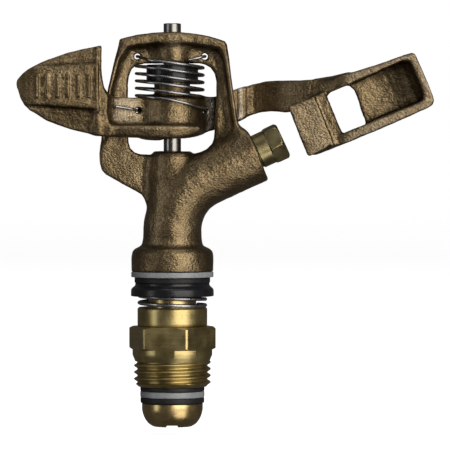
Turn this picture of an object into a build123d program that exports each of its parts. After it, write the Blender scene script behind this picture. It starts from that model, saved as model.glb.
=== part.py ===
"""Impact sprinkler with a 1/2 inch male inlet.

A one-piece bronze casting carries the inclined barrel and a yoke. A hinged bronze arm swings inside the
yoke on a steel fulcrum pin against a torsion spring. The casting screws onto a brass tube that turns in the
hexagon nut below it, pulled against its seals by a compression spring.

Frame, in millimetres: Z runs up the turning axis, X points the way the jet leaves, and the origin is the
centre of the nut's lower end, where the male thread starts.
"""

import os
from math import cos, radians, sin, tan

from build123d import *

# ---------------------------------------------------------------- driving dimensions
THREAD_R = 20.955 / 2  # major radius of a 1/2 inch parallel pipe thread
THREAD_TOP = 6.9
SEAT_Z = 10.2  # lower face of the hexagon
HEX_ACROSS_FLATS = 21.0
HEX_TOP = 16.4
HEX_TURN = -10.0  # degrees from X to a corner
HEX_CORNER_R = 12.0
NECK_R = 10.75
NUT_COLLAR_R = 9.5
NUT_TOP = 21.6

TUBE_R = 6.5
TUBE_BORE_R = 4.7
TUBE_TOP = 41.0
RUNNING_GAP = 0.06
FLANGE_TOP = -4.5
FLANGE_R = 8.3
TUBE_BOTTOM = -11.0

COVER_BOTTOM = 24.6
COVER_CEILING = 26.9
COVER_TOP = 28.2
COVER_CAVITY_R = 9.85
RUBBER_TOP = 29.78
WASHER_BOTTOM = 29.8
COLLAR_BOTTOM = 31.3
COLLAR_R = 11.15

BARREL_R = 7.9
PASSAGE_R = 4.0
JET_ANGLE = 25.0
BEND_Z = 53.16  # where the barrel's line meets the turning axis
BEND_RADIUS = 15.4
BARREL_REACH = 23.2  # X of the centre of the barrel's end face

YOKE_TOP = 96.6
WINDOW_TOP = 87.6
WINDOW_BOTTOM = 62.9
WEB_HALF = 1.6
RIM_HALF = 4.0
RIM_WIDTH = 2.6
BOSS_TOP = 64.0

PIN_R = 2.38
PIN_BOTTOM = 60.0
PIN_TOP = 98.8

ARM_TURN = 21.0  # degrees from X to the arm's hub plate, at rest
PLATE_HALF = 1.3
HUB_R = 7.6
HUB_BOTTOM = 67.3
PLATE_TOP = 78.3
NECK_TOP = 85.6
BUSH_R = 3.6

COIL_R = 9.2
ARM_WIRE_R = 0.4
TOP_HOOK_Z = 89.9
ARM_HOOK_Z = 75.1
HOOK_HOLE_R = 0.8

SPOON_PITCH = 22.6  # degrees from X to the spoon's length
SPOON_CORNER = (37.3, 62.5)
SPOON_LENGTH = 36.8
SPOON_HEIGHT = 15.7
VANE_FRONT = -6.0
SPOON_FRONT = -5.2
SPOON_BACK = 4.9

NOZZLE_COLLAR_R = 4.72
NOZZLE_HEX_FLATS = 9.525
NOZZLE_LENGTH = 7.7
NOZZLE_COLLAR = 3.3
NOZZLE_THREAD_R = 4.4
NOZZLE_THREAD = 7.0
ORIFICE_R = 2.2

os.makedirs("parts", exist_ok=True)


def save(piece, name):
    """Labels a finished sub-part and writes its STEP."""
    piece.part.label = name
    export_step(piece.part, f"parts/{name}.step")


def washer(bottom, top, outer, inner):
    """A flat ring on the turning axis."""
    with BuildPart() as ring:
        with BuildSketch(Plane.XY.offset(bottom)):
            Circle(outer)
            Circle(inner, mode=Mode.SUBTRACT)
        extrude(amount=top - bottom)
    return ring


# ---------------------------------------------------------------- places worked out from them
jet_dir = (cos(radians(JET_ANGLE)), sin(radians(JET_ANGLE)))
barrel_end = (BARREL_REACH, BEND_Z + BARREL_REACH * tan(radians(JET_ANGLE)))
jet_plane = Plane(
    origin=(barrel_end[0], 0, barrel_end[1]), x_dir=(0, 1, 0), z_dir=(jet_dir[0], 0, jet_dir[1])
)
spoon_plane = Plane(
    origin=(SPOON_CORNER[0], 0, SPOON_CORNER[1]),
    x_dir=(cos(radians(SPOON_PITCH)), 0, sin(radians(SPOON_PITCH))),
    z_dir=(-sin(radians(SPOON_PITCH)), 0, cos(radians(SPOON_PITCH))),
)
arm_plane = Plane(
    origin=(0, 0, 0), x_dir=(cos(radians(ARM_TURN)), sin(radians(ARM_TURN)), 0), z_dir=(0, 0, 1)
)


# ---------------------------------------------------------------- bearing nut, which screws into the riser
with BuildPart() as bearing_nut:
    with BuildSketch(Plane.XZ):
        with BuildLine():
            Polyline(
                (TUBE_R + RUNNING_GAP, 0.0),
                (THREAD_R - 1.0, 0.0),
                (THREAD_R, 0.45),
                (THREAD_R, THREAD_TOP),
                (NECK_R, THREAD_TOP + 0.6),
                (NECK_R, SEAT_Z),
                (HEX_CORNER_R - 0.9, SEAT_Z),
                (HEX_CORNER_R, SEAT_Z + 0.5),
                (HEX_CORNER_R, HEX_TOP - 0.9),
                (HEX_CORNER_R - 1.6, HEX_TOP),
                (NUT_COLLAR_R, HEX_TOP),
                (NUT_COLLAR_R, NUT_TOP - 0.4),
                (NUT_COLLAR_R - 0.4, NUT_TOP),
                (TUBE_R + RUNNING_GAP, NUT_TOP),
                close=True,
            )
        make_face()
    revolve(axis=Axis.Z)
    # the six flats run on below the hexagon and just touch the neck
    with BuildSketch(Plane.XY.offset(THREAD_TOP)):
        Circle(HEX_CORNER_R + 2)
        RegularPolygon(HEX_ACROSS_FLATS / 2, 6, major_radius=False, rotation=HEX_TURN, mode=Mode.SUBTRACT)
    extrude(amount=HEX_TOP - THREAD_TOP, mode=Mode.SUBTRACT)
save(bearing_nut, "bearing_nut")

# ---------------------------------------------------------------- bearing tube, whose flange holds the seals
with BuildPart() as bearing_tube:
    with BuildSketch(Plane.XZ):
        with BuildLine():
            Polyline(
                (TUBE_BORE_R, TUBE_BOTTOM),
                (TUBE_BORE_R, TUBE_TOP),
                (TUBE_R - 0.5, TUBE_TOP),
                (TUBE_R, TUBE_TOP - 0.5),
                (TUBE_R, FLANGE_TOP),
                (FLANGE_R, FLANGE_TOP),
                (FLANGE_R, FLANGE_TOP - 1.7),
            )
            ThreePointArc((FLANGE_R, FLANGE_TOP - 1.7), (7.35, -8.9), (TUBE_BORE_R + 0.3, TUBE_BOTTOM))
            Line((TUBE_BORE_R + 0.3, TUBE_BOTTOM), (TUBE_BORE_R, TUBE_BOTTOM))
        make_face()
    revolve(axis=Axis.Z)
    # two wrench slots across the bottom
    with BuildSketch(Plane.XY.offset(TUBE_BOTTOM)):
        Rectangle(3.0, 2 * FLANGE_R)
    extrude(amount=1.4, mode=Mode.SUBTRACT)
save(bearing_tube, "bearing_tube")

# ---------------------------------------------------------------- seals and washers under the nut
SEAL_R = 8.75
SEAL_BORE_R = TUBE_R + 0.1
seal_washer_upper = washer(-1.25, 0.0, SEAL_R, SEAL_BORE_R)
save(seal_washer_upper, "seal_washer_upper")
slip_washer = washer(-2.9, -1.25, SEAL_R, SEAL_BORE_R)
save(slip_washer, "slip_washer")
seal_washer_lower = washer(FLANGE_TOP, -2.9, SEAL_R - 0.05, SEAL_BORE_R)
save(seal_washer_lower, "seal_washer_lower")

# ---------------------------------------------------------------- washers, cover and spring above the nut
top_washer = washer(WASHER_BOTTOM, COLLAR_BOTTOM, 11.2, TUBE_R + 0.1)
save(top_washer, "top_washer")

with BuildPart() as spring_cover:
    with BuildSketch(Plane.XZ):
        with BuildLine():
            Polyline(
                (TUBE_R + 0.2, COVER_CEILING),
                (COVER_CAVITY_R, COVER_CEILING),
                (COVER_CAVITY_R, COVER_BOTTOM),
                (11.3, COVER_BOTTOM),
                (11.2, 26.5),
                (10.1, 27.6),
                (10.1, COVER_TOP),
                (TUBE_R + 0.2, COVER_TOP),
                close=True,
            )
        make_face()
    revolve(axis=Axis.Z)
save(spring_cover, "spring_cover")

top_rubber_washer = washer(COVER_TOP, RUBBER_TOP, 10.3, TUBE_R + 0.15)
save(top_rubber_washer, "top_rubber_washer")

SEAT_RING = 0.3
spring_seat_ring = washer(COVER_CEILING - SEAT_RING, COVER_CEILING, 9.6, TUBE_R + 0.3)
save(spring_seat_ring, "spring_seat_ring")

PRESS_WIRE_R = 0.5
PRESS_COIL_R = 9.0
PRESS_TURNS = 2.4
PRESS_LOW = NUT_TOP + PRESS_WIRE_R + 0.02
PRESS_HIGH = COVER_CEILING - SEAT_RING - PRESS_WIRE_R - 0.02
with BuildPart() as pressure_spring:
    with BuildLine() as press_line:
        Helix(
            pitch=(PRESS_HIGH - PRESS_LOW) / PRESS_TURNS,
            height=PRESS_HIGH - PRESS_LOW,
            radius=PRESS_COIL_R,
            center=(0, 0, PRESS_LOW),
            lefthand=True,
        )
    with BuildSketch(Plane(origin=press_line.line @ 0, z_dir=press_line.line % 0)):
        Circle(PRESS_WIRE_R)
    sweep(path=press_line.line, is_frenet=True)
save(pressure_spring, "pressure_spring")

# ---------------------------------------------------------------- sprinkler body casting
with BuildPart() as sprinkler_body:
    # barrel: up the turning axis, then round to the jet's angle
    with BuildLine() as barrel_path:
        FilletPolyline(
            (0, 0, COLLAR_BOTTOM), (0, 0, BEND_Z), (barrel_end[0], 0, barrel_end[1]), radius=BEND_RADIUS
        )
    with BuildSketch(Plane.XY.offset(COLLAR_BOTTOM)):
        Circle(BARREL_R)
    sweep(path=barrel_path.line)
    # collar over the top washer
    with BuildSketch(Plane.XZ):
        with BuildLine():
            Polyline((0, COLLAR_BOTTOM), (COLLAR_R, COLLAR_BOTTOM), (COLLAR_R, 35.9))
            ThreePointArc((COLLAR_R, 35.9), (10.45, 37.6), (8.75, 38.3))
            ThreePointArc((8.75, 38.3), (8.05, 38.6), (BARREL_R - 0.1, 39.3))
            Polyline((BARREL_R - 0.1, 39.3), (0, 39.3), (0, COLLAR_BOTTOM))
        make_face()
    revolve(axis=Axis.Z)
    # boss for the foot of the fulcrum pin
    with BuildSketch(Plane.XZ):
        with BuildLine():
            Polyline(
                (0, 42.5), (7.4, 42.5), (7.3, 48.0), (6.3, 57.0), (5.3, BOSS_TOP - 0.5), (4.8, BOSS_TOP),
                (0, BOSS_TOP), close=True,
            )
        make_face()
    revolve(axis=Axis.Z)
    # web: the yoke's thin plate, with its window
    with BuildSketch(Plane.XZ) as web_outline:
        with BuildLine():
            Polyline(
                (14.6, 94.0), (16.3, 82.3), (17.9, 71.5), (19.4, 69.6), (22.0, 66.5), (14.0, 55.0),
                (4.0, 48.0), (-7.2, 50.8), (-8.5, 52.4), (-18.0, 57.8), (-19.3, 59.4), (-19.8, 64.4),
                (-19.1, 68.4), (-17.5, 81.0), (-14.2, 94.6),
            )
            ThreePointArc((-14.2, 94.6), (0.2, YOKE_TOP), (14.6, 94.0))
        make_face()
    extrude(amount=WEB_HALF, both=True)
    with BuildSketch(Plane.XZ) as rim:
        add(web_outline.sketch)
        offset(web_outline.sketch, amount=-RIM_WIDTH, mode=Mode.SUBTRACT)
        with Locations((-12, 58.5)):
            Rectangle(26, 20, mode=Mode.SUBTRACT)
        with Locations((0, 52)):
            Rectangle(40, 18, mode=Mode.SUBTRACT)
    extrude(amount=RIM_HALF, both=True)
    with BuildSketch(Plane.XZ):
        with BuildLine():
            Polyline(
                (-11.2, WINDOW_TOP), (11.4, WINDOW_TOP), (12.0, 79.5), (11.2, WINDOW_BOTTOM),
                (-12.2, WINDOW_BOTTOM), (-12.4, 79.5), close=True,
            )
        window_face = make_face()
        fillet(window_face.vertices().group_by(Axis.Y)[-1], 2.6)
        fillet(window_face.vertices().group_by(Axis.Y)[0], 4.6)
    extrude(amount=RIM_HALF + 1, both=True, mode=Mode.SUBTRACT)
    # put back the boss that the window cut away, and add the one at the top
    with BuildSketch(Plane.XY.offset(57.0)):
        Circle(6.2)
    extrude(amount=BOSS_TOP - 57.0, taper=8.0)
    with BuildSketch(Plane.XY.offset(WINDOW_TOP)):
        Circle(4.9)
    extrude(amount=YOKE_TOP - 0.4 - WINDOW_TOP)
    # inlet thread, water passage and nozzle socket
    with BuildSketch(Plane.XY.offset(COLLAR_BOTTOM)):
        Circle(TUBE_R + 0.05)
    extrude(amount=TUBE_TOP + 0.4 - COLLAR_BOTTOM, mode=Mode.SUBTRACT)
    with BuildSketch(Plane.XY.offset(COLLAR_BOTTOM)):
        Circle(PASSAGE_R)
    sweep(path=barrel_path.line, mode=Mode.SUBTRACT)
    with BuildSketch(jet_plane):
        Circle(NOZZLE_THREAD_R + 0.05)
    extrude(amount=-(NOZZLE_THREAD + 0.3), mode=Mode.SUBTRACT)
    # fulcrum pin holes and the two hook holes of the arm spring
    with BuildSketch(Plane.XY.offset(PIN_BOTTOM)):
        Circle(PIN_R + 0.02)
    extrude(amount=PIN_TOP - PIN_BOTTOM, mode=Mode.SUBTRACT)
    with BuildSketch(Plane.XZ):
        with Locations((-COIL_R, TOP_HOOK_Z), (COIL_R, TOP_HOOK_Z)):
            Circle(HOOK_HOLE_R)
    extrude(amount=RIM_HALF + 1, both=True, mode=Mode.SUBTRACT)
save(sprinkler_body, "sprinkler_body")

# ---------------------------------------------------------------- nozzle
with BuildPart() as nozzle:
    with BuildSketch(jet_plane.offset(-NOZZLE_THREAD)):
        Circle(NOZZLE_THREAD_R)
    extrude(amount=NOZZLE_THREAD)
    with BuildSketch(jet_plane):
        Circle(NOZZLE_COLLAR_R)
    extrude(amount=NOZZLE_COLLAR)
    with BuildSketch(jet_plane.offset(NOZZLE_COLLAR)):
        RegularPolygon(NOZZLE_HEX_FLATS / 2, 6, major_radius=False)
    extrude(amount=NOZZLE_LENGTH - NOZZLE_COLLAR)
    jet_axis = Axis(origin=(0, 0, 0), direction=(jet_dir[0], 0, jet_dir[1]))
    chamfer(nozzle.faces().sort_by(jet_axis)[-1].edges(), 0.5)
    with BuildSketch(jet_plane.offset(-NOZZLE_THREAD)) as bore_in:
        Circle(3.5)
    with BuildSketch(jet_plane.offset(NOZZLE_LENGTH - 3.5)) as bore_out:
        Circle(ORIFICE_R)
    loft(mode=Mode.SUBTRACT)
    with BuildSketch(jet_plane.offset(NOZZLE_LENGTH - 3.5)):
        Circle(ORIFICE_R)
    extrude(amount=4, mode=Mode.SUBTRACT)
save(nozzle, "nozzle")

# ---------------------------------------------------------------- fulcrum pin and the parts on it
with BuildPart() as fulcrum_pin:
    with BuildSketch(Plane.XY.offset(PIN_BOTTOM + 0.1)):
        Circle(PIN_R)
    extrude(amount=PIN_TOP - PIN_BOTTOM - 0.1)
    chamfer(fulcrum_pin.edges().filter_by(GeomType.CIRCLE), 0.3)
save(fulcrum_pin, "fulcrum_pin")

CAP_R = 7.05
CAP_BOTTOM = 82.6
CAP_CEILING = 86.4
with BuildPart() as arm_cap:
    with BuildSketch(Plane.XY.offset(CAP_BOTTOM)):
        Circle(CAP_R)
        Circle(PIN_R + 0.03, mode=Mode.SUBTRACT)
    extrude(amount=WINDOW_TOP - 0.02 - CAP_BOTTOM)
    with BuildSketch(Plane.XY.offset(CAP_BOTTOM)):
        Circle(5.3)
    extrude(amount=CAP_CEILING - CAP_BOTTOM, mode=Mode.SUBTRACT)
save(arm_cap, "arm_cap")

arm_thrust_washer = washer(NECK_TOP + 0.03, CAP_CEILING - 0.03, 4.7, PIN_R + 0.08)
save(arm_thrust_washer, "arm_thrust_washer")
arm_bush_upper = washer(NECK_TOP - 6.0, NECK_TOP, BUSH_R - 0.02, PIN_R + 0.05)
save(arm_bush_upper, "arm_bush_upper")
arm_bush_lower = washer(HUB_BOTTOM + 0.2, HUB_BOTTOM + 6.2, BUSH_R - 0.02, PIN_R + 0.05)
save(arm_bush_lower, "arm_bush_lower")

# ---------------------------------------------------------------- impact arm casting
plate_slope = tan(radians(ARM_TURN))
plate_side = PLATE_HALF / cos(radians(ARM_TURN))


def plate_y(x, side):
    """Y of the hub plate's front (side -1) or back (side 1) face at x."""
    return x * plate_slope + side * plate_side


with BuildPart() as arm_bar:
    # side view of the counterweight nose, hub plate and strip
    with BuildSketch(Plane.XZ):
        with BuildLine():
            Spline(
                (-19.4, 92.8), (-30.0, 90.5), (-37.0, 87.8), (-42.3, 82.6), (-40.4, 76.9), (-34.6, 72.8),
                (-27.6, 70.1), (-12.3, 67.9), (0.0, HUB_BOTTOM), tangents=((-1, -0.2), (1, 0)),
            )
            Spline(
                (0.0, HUB_BOTTOM), (6.0, 68.2), (12.0, 70.0), (19.0, 72.8), (26.1, 75.2), (32.0, 75.0),
                tangents=((1, 0), (1, -0.2)),
            )
            Polyline((32.0, 75.0), (38.0, 76.2), (44.0, 80.4), (49.7, 82.6), (50.5, 86.2))
            Spline(
                (50.5, 86.2), (44.0, 84.7), (36.7, 83.6), (29.3, 83.3), (22.5, 82.6), (16.0, 80.0),
                (11.0, PLATE_TOP), tangents=((-1, -0.24), (-1, 0)),
            )
            Polyline((11.0, PLATE_TOP), (-16.4, PLATE_TOP + 0.3), (-18.6, 81.0), (-19.2, 86.0), (-19.4, 92.8))
        make_face()
    extrude(amount=16, both=True)
    # plan view of the same bar
    with BuildSketch():
        with BuildLine():
            Polyline(
                (-43.0, -10.2), (-19.4, -11.5), (-18.8, plate_y(-17.2, -1)), (19.2, plate_y(19.2, -1)),
                (30.0, 2.6), (38.0, -1.6), (46.0, SPOON_FRONT), (51.0, SPOON_FRONT), (51.0, 4.6), (38.0, 3.8),
                (30.0, 5.6), (20.3, 9.1), (-17.0, plate_y(-17.0, 1)), (-19.4, -4.6), (-43.0, -5.4), close=True,
            )
        make_face()
    extrude(amount=110, mode=Mode.INTERSECT)
    # the nose falls away above and below its flat middle
    for outline in (
        [(-13.0, 84.8), (-7.6, 94.0), (-13.0, 94.0)],
        [(-13.0, 78.6), (-6.6, 66.5), (-13.0, 66.5)],
    ):
        with BuildSketch(Plane.YZ.offset(-19.0)):
            with BuildLine():
                Polyline(*outline, close=True)
            make_face()
        extrude(amount=-30, mode=Mode.SUBTRACT)

with BuildPart() as spoon:
    # the spoon's plan: vane in front, then the window, then the bucket
    with BuildSketch(spoon_plane):
        with BuildLine():
            Polyline(
                (0, 1.0), (0, VANE_FRONT), (7.4, VANE_FRONT), (7.6, SPOON_FRONT), (SPOON_LENGTH, SPOON_FRONT),
                (SPOON_LENGTH, -3.0),
            )
            ThreePointArc((SPOON_LENGTH, -3.0), (34.0, 2.2), (27.5, SPOON_BACK))
            Polyline((27.5, SPOON_BACK), (17.0, SPOON_BACK), (0, 1.0))
        make_face()
    extrude(amount=SPOON_HEIGHT)
    # the vane's wedge keeps its front: everything behind it is open, and so is the window
    with BuildSketch(spoon_plane.offset(2.6)):
        with BuildLine():
            Polyline(
                (-1, -3.6), (0, -3.6), (10.2, 1.2), (10.6, 0.8), (7.4, VANE_FRONT), (7.4, -8), (18.2, -8),
                (18.2, 8), (-1, 8), close=True,
            )
        make_face()
    extrude(amount=11.5, mode=Mode.SUBTRACT)
    # bucket: a floor that curls towards the front
    with BuildSketch(spoon_plane.offset(2.6)):
        with BuildLine():
            Polyline((34.6, SPOON_FRONT - 1), (34.6, -3.6))
            ThreePointArc((34.6, -3.6), (32.2, 1.0), (26.5, 3.4))
            Polyline((26.5, 3.4), (18.0, 3.6), (18.0, SPOON_FRONT - 1), (34.6, SPOON_FRONT - 1))
        make_face()
    extrude(amount=11.4, mode=Mode.SUBTRACT)

with BuildPart() as impact_arm:
    add(arm_bar.part)
    add(spoon.part)
    # hub, its neck and the shelf under them
    with BuildSketch(Plane.XY.offset(68.0)):
        Circle(HUB_R)
    extrude(amount=PLATE_TOP - 68.0)
    with BuildSketch(Plane.XY.offset(68.0)):
        Circle(4.85)
    extrude(amount=NECK_TOP - 68.0)
    with BuildSketch(Plane.XY.offset(HUB_BOTTOM)):
        with BuildLine():
            Polyline((-20.0, -11.4), (-12.0, -10.6), (-5.0, -10.2))
            ThreePointArc((-5.0, -10.2), (2.5, -9.0), (HUB_R, -4.5))
            Polyline((HUB_R, -4.5), (HUB_R, 1.6), (-20.0, -8.0), (-20.0, -11.4))
        make_face()
    extrude(amount=3.5)
    # fulcrum bore and hook holes
    with BuildSketch(Plane.XY.offset(HUB_BOTTOM - 1)):
        Circle(BUSH_R)
    extrude(amount=NECK_TOP - HUB_BOTTOM + 2, mode=Mode.SUBTRACT)
    with BuildSketch(Plane(origin=(0, 0, 0), x_dir=arm_plane.x_dir, z_dir=-arm_plane.y_dir)):
        with Locations((-10.4, ARM_HOOK_Z), (COIL_R, ARM_HOOK_Z)):
            Circle(HOOK_HOLE_R)
    extrude(amount=5, both=True, mode=Mode.SUBTRACT)
save(impact_arm, "impact_arm")

# ---------------------------------------------------------------- arm spring: a left-hand torsion spring
COIL_LOW = 78.0
COIL_HIGH = 88.2
COIL_LEAN = 0.07  # the coil leans: its right side sits lower than its left
COIL_STEP = 30  # degrees between the points that the wire is drawn through
COIL_FROM = -90
COIL_TO = -1920


def arm_point(along, across, height):
    """A point given along and across the hub plate."""
    spot = arm_plane.from_local_coords(Vector(along, across, height))
    return (spot.X, spot.Y, spot.Z)


def coil_point(angle, height, radius=COIL_R):
    """A point round the turning axis."""
    return (radius * cos(radians(angle)), radius * sin(radians(angle)), height)


def wire_through_arm():
    """Tail, left hook hole, round the back of the hub, right hook hole and up to the coil."""
    hub_gap = 1.1
    behind_hub = HUB_R + hub_gap
    return [
        arm_point(-17.4, -2.4, ARM_HOOK_Z + 1.0),
        arm_point(-14.4, -2.5, ARM_HOOK_Z + 0.5),
        arm_point(-11.6, -2.2, ARM_HOOK_Z + 0.1),
        arm_point(-10.4, -0.8, ARM_HOOK_Z),
        arm_point(-10.3, 0.9, ARM_HOOK_Z),
        *[coil_point(angle, ARM_HOOK_Z, behind_hub) for angle in (165, 140, 115, 90, 65, 42)],
        arm_point(COIL_R, 0.9, ARM_HOOK_Z),
        arm_point(COIL_R, -0.9, ARM_HOOK_Z + 0.1),
        coil_point(-8, ARM_HOOK_Z + 0.4, COIL_R + 0.3),
        coil_point(-30, ARM_HOOK_Z + 1.1, COIL_R + 0.1),
        coil_point(-60, COIL_LOW - 0.8),
    ]


def wire_through_yoke():
    """From the coil up in front of the yoke, left hook hole, behind the boss, out of the right hook hole."""
    return [
        coil_point(COIL_TO - 25, COIL_HIGH + 0.7),
        coil_point(COIL_TO - 42, COIL_HIGH + 1.2),
        (-COIL_R, -1.5, TOP_HOOK_Z - 0.1),
        (-COIL_R, 1.0, TOP_HOOK_Z),
        (-7.4, 4.9, TOP_HOOK_Z),
        (-4.0, 6.9, TOP_HOOK_Z),
        (0.0, 7.5, TOP_HOOK_Z),
        (4.0, 6.9, TOP_HOOK_Z),
        (7.4, 4.9, TOP_HOOK_Z),
        (COIL_R, 1.0, TOP_HOOK_Z),
        (COIL_R, -1.5, TOP_HOOK_Z),
        (COIL_R - 0.4, -3.8, TOP_HOOK_Z),
    ]


def leaning_coil():
    """The coil itself, from the arm up to the yoke."""
    angles = range(COIL_FROM, COIL_TO - 1, -COIL_STEP)
    rise = (COIL_HIGH - COIL_LOW) / (len(angles) - 1)
    return [
        coil_point(angle, COIL_LOW + rise * i - COIL_LEAN * COIL_R * cos(radians(angle)))
        for i, angle in enumerate(angles)
    ]


wire_points = wire_through_arm() + leaning_coil() + wire_through_yoke()
with BuildPart() as arm_spring:
    with BuildLine() as wire_line:
        Spline(*wire_points)
    with BuildSketch(Plane(origin=wire_line.line @ 0, z_dir=wire_line.line % 0)):
        Circle(ARM_WIRE_R)
    sweep(path=wire_line.line, is_frenet=True)
save(arm_spring, "arm_spring")
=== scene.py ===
from math import cos, pi, radians, sin, sqrt

import bmesh
import bpy
import numpy as np
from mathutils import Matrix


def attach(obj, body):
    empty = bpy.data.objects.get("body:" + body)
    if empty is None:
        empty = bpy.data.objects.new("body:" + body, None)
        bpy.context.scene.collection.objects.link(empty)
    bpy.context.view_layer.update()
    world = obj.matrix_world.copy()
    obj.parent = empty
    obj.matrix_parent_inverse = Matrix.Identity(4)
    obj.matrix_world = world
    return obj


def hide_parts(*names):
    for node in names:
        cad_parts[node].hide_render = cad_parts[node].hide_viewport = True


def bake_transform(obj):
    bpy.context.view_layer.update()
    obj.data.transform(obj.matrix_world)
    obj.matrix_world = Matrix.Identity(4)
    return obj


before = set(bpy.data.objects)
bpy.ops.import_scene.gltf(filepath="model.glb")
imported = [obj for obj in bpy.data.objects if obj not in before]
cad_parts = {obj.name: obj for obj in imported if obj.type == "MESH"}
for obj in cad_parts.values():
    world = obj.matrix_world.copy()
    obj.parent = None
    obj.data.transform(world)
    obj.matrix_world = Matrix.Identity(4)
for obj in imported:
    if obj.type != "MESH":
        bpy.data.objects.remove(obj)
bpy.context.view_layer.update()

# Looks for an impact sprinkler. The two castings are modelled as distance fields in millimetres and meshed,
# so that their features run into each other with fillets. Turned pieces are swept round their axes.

import openvdb
from mathutils import Matrix, Vector

MM = 0.001
rng = np.random.default_rng(7)

# ---------------------------------------------------------------- distance fields


class Field:
    """A block of space in millimetres, sampled on a regular grid."""

    def __init__(self, low, high, step):
        self.low, self.step = np.array(low, np.float64), step
        x, y, z = (np.arange(a, b + step, step, dtype=np.float32) for a, b in zip(low, high))
        self.x, self.y, self.z = x[:, None, None], y[None, :, None], z[None, None, :]


def polygon(u, v, points):
    """Signed distance to a closed outline in the plane of u and v, negative inside."""
    best, inside = None, None
    for (ax, ay), (bx, by) in zip(points, points[1:] + points[:1]):
        ex, ey, wx, wy = bx - ax, by - ay, u - ax, v - ay
        t = np.clip((wx * ex + wy * ey) / (ex * ex + ey * ey), 0, 1)
        square = (wx - t * ex) ** 2 + (wy - t * ey) ** 2
        over, under, left = v >= ay, v < by, ex * wy > ey * wx
        cross = (over & under & left) | (~over & ~under & ~left)
        best = square if best is None else np.minimum(best, square)
        inside = cross if inside is None else inside ^ cross
    return np.where(inside, -1, 1) * np.sqrt(best)


def line(u, v, points):
    """Distance to an open line in the plane of u and v."""
    best = None
    for (ax, ay), (bx, by) in zip(points, points[1:]):
        ex, ey, wx, wy = bx - ax, by - ay, u - ax, v - ay
        t = np.clip((wx * ex + wy * ey) / (ex * ex + ey * ey), 0, 1)
        square = (wx - t * ex) ** 2 + (wy - t * ey) ** 2
        best = square if best is None else np.minimum(best, square)
    return np.sqrt(best)


def join(a, b, k):
    """Union, with a fillet of about k."""
    h = np.clip(0.5 + 0.5 * (b - a) / k, 0, 1)
    return b + (a - b) * h - k * h * (1 - h)


def meet(a, b, k):
    """Intersection, with an edge rounded by about k."""
    return -join(-a, -b, k)


def cut(a, b, k):
    """a with b taken away."""
    return meet(a, -b, k)


def slab(d, t, low, high, r):
    """An outline's distance d pulled along t from low to high, with its edges rounded by r."""
    a, b = d + r, np.abs(t - (low + high) / 2) - (high - low) / 2 + r
    return np.minimum(np.maximum(a, b), 0) + np.hypot(np.maximum(a, 0), np.maximum(b, 0)) - r


def soft_step(value, low, high):
    """From 0 at low to 1 at high."""
    t = np.clip((value - low) / (high - low), 0, 1)
    return t * t * (3 - 2 * t)


def unevenness(f, amplitude, wavelength, waves=10):
    """Slow waves over a casting's skin."""
    total = 0
    for _ in range(waves):
        way = rng.normal(size=3)
        way *= 2 * pi / (wavelength * rng.uniform(0.6, 1.6)) / np.linalg.norm(way)
        total = total + np.sin(f.x * way[0] + f.y * way[1] + f.z * way[2] + rng.uniform(0, 2 * pi))
    return (amplitude / sqrt(waves)) * total


def blurred(values, axis, reach):
    """Box average along one axis of a block of values."""
    count = values.shape[axis]
    padded = np.pad(values, [(reach + 1, reach) if a == axis else (0, 0) for a in range(3)], mode="edge")
    total = np.cumsum(padded, axis=axis, dtype=np.float64)
    upper = np.take(total, np.arange(2 * reach + 1, 2 * reach + 1 + count), axis)
    lower = np.take(total, np.arange(count), axis)
    return ((upper - lower) / (2 * reach + 1)).astype(np.float32)


def field_mesh(name, f, d):
    """The surface where the field is zero, as a mesh in metres.

    Its "edge" attribute is 0.5 on flat skin, less in hollows and more on ridges.
    """
    grid = openvdb.FloatGrid(3 * f.step)
    values = np.ascontiguousarray(np.clip(d, -3 * f.step, 3 * f.step), dtype=np.float32)
    grid.copyFromArray(values)
    points, quads = grid.convertToQuads()
    soft = np.clip(d, -2.4, 2.4).astype(np.float32)
    for axis in range(3):
        soft = blurred(soft, axis, 4)
    i, j, k = (np.clip(np.rint(points[:, a]).astype(int), 0, d.shape[a] - 1) for a in range(3))
    edge = np.clip(0.5 + soft[i, j, k], 0, 1)
    points = (points * f.step + f.low) * MM
    mesh = bpy.data.meshes.new(name)
    mesh.from_pydata(points.tolist(), [], quads.tolist())
    piece = new_object(name, mesh)
    mesh.attributes.new("edge", "FLOAT", "POINT").data.foreach_set("value", edge.astype(np.float32))
    return piece


# ---------------------------------------------------------------- pieces


def new_object(name, mesh):
    work = bmesh.new()
    work.from_mesh(mesh)
    if work.calc_volume(signed=True) < 0:
        bmesh.ops.reverse_faces(work, faces=work.faces)
    work.to_mesh(mesh)
    work.free()
    for face in mesh.polygons:
        face.use_smooth = True
    piece = bpy.data.objects.new(name, mesh)
    bpy.context.scene.collection.objects.link(piece)
    return piece


def dress(piece, material, slot, body, *nodes):
    """Gives a piece its material and body, and hides the CAD nodes it stands for. slot is not used."""
    piece.data.materials.append(material)
    if body:
        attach(piece, body)
    for node in nodes:
        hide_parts(node)
    return piece


def grid_mesh(name, rings, closed=False):
    """A tube-like surface through rings of points. closed joins the last ring to the first."""
    count, around = len(rings), len(rings[0])
    points = [tuple(p) for ring in rings for p in ring]
    faces = []
    for i in range(count if closed else count - 1):
        j = (i + 1) % count
        for a in range(around):
            b = (a + 1) % around
            faces.append((i * around + a, i * around + b, j * around + b, j * around + a))
    mesh = bpy.data.meshes.new(name)
    mesh.from_pydata(points, [], faces)
    return mesh


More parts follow.
